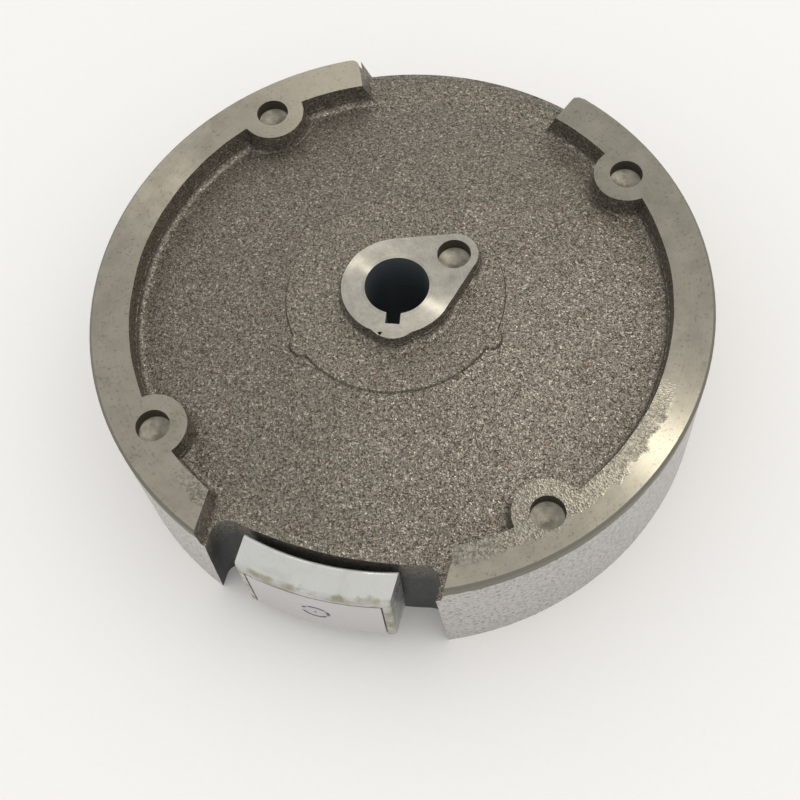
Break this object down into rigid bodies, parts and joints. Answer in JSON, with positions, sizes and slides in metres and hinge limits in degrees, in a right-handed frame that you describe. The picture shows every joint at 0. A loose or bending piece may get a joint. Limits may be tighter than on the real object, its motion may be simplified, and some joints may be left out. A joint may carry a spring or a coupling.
{
  "type": "flywheel",
  "caption": "Cast-iron small-engine flywheel with a keyed hub, a drilled peg lug, a raised drilled land and a riveted ignition magnet block in a notch of its rim.",
  "frame": {"origin": "on the crankshaft axis, in the plane of the rim's lower edge", "axes": "+Z along the crankshaft axis to the fan and starter side; -Y from the axis to the middle of the magnet notch; +X to the right seen from the magnet"},
  "size_m": [0.185, 0.185, 0.05],
  "materials": {
    "cast_iron": "as cast and blasted, with turned faces",
    "die_cast": "die cast, satin",
    "magnet": "as cast, dull",
    "pole_steel": "turned with the rim",
    "resin": "cured, slightly glossy",
    "rivet_steel": "turned flush"
  },
  "bodies": {
    "root": {"flywheel_casting": "cast_iron", "magnet_holder": "die_cast", "ignition_magnet": "magnet", "pole_shoe": "pole_steel", "sealing_resin": "resin", "retaining_rivet": "rivet_steel"}
  },
  "joints": []
}
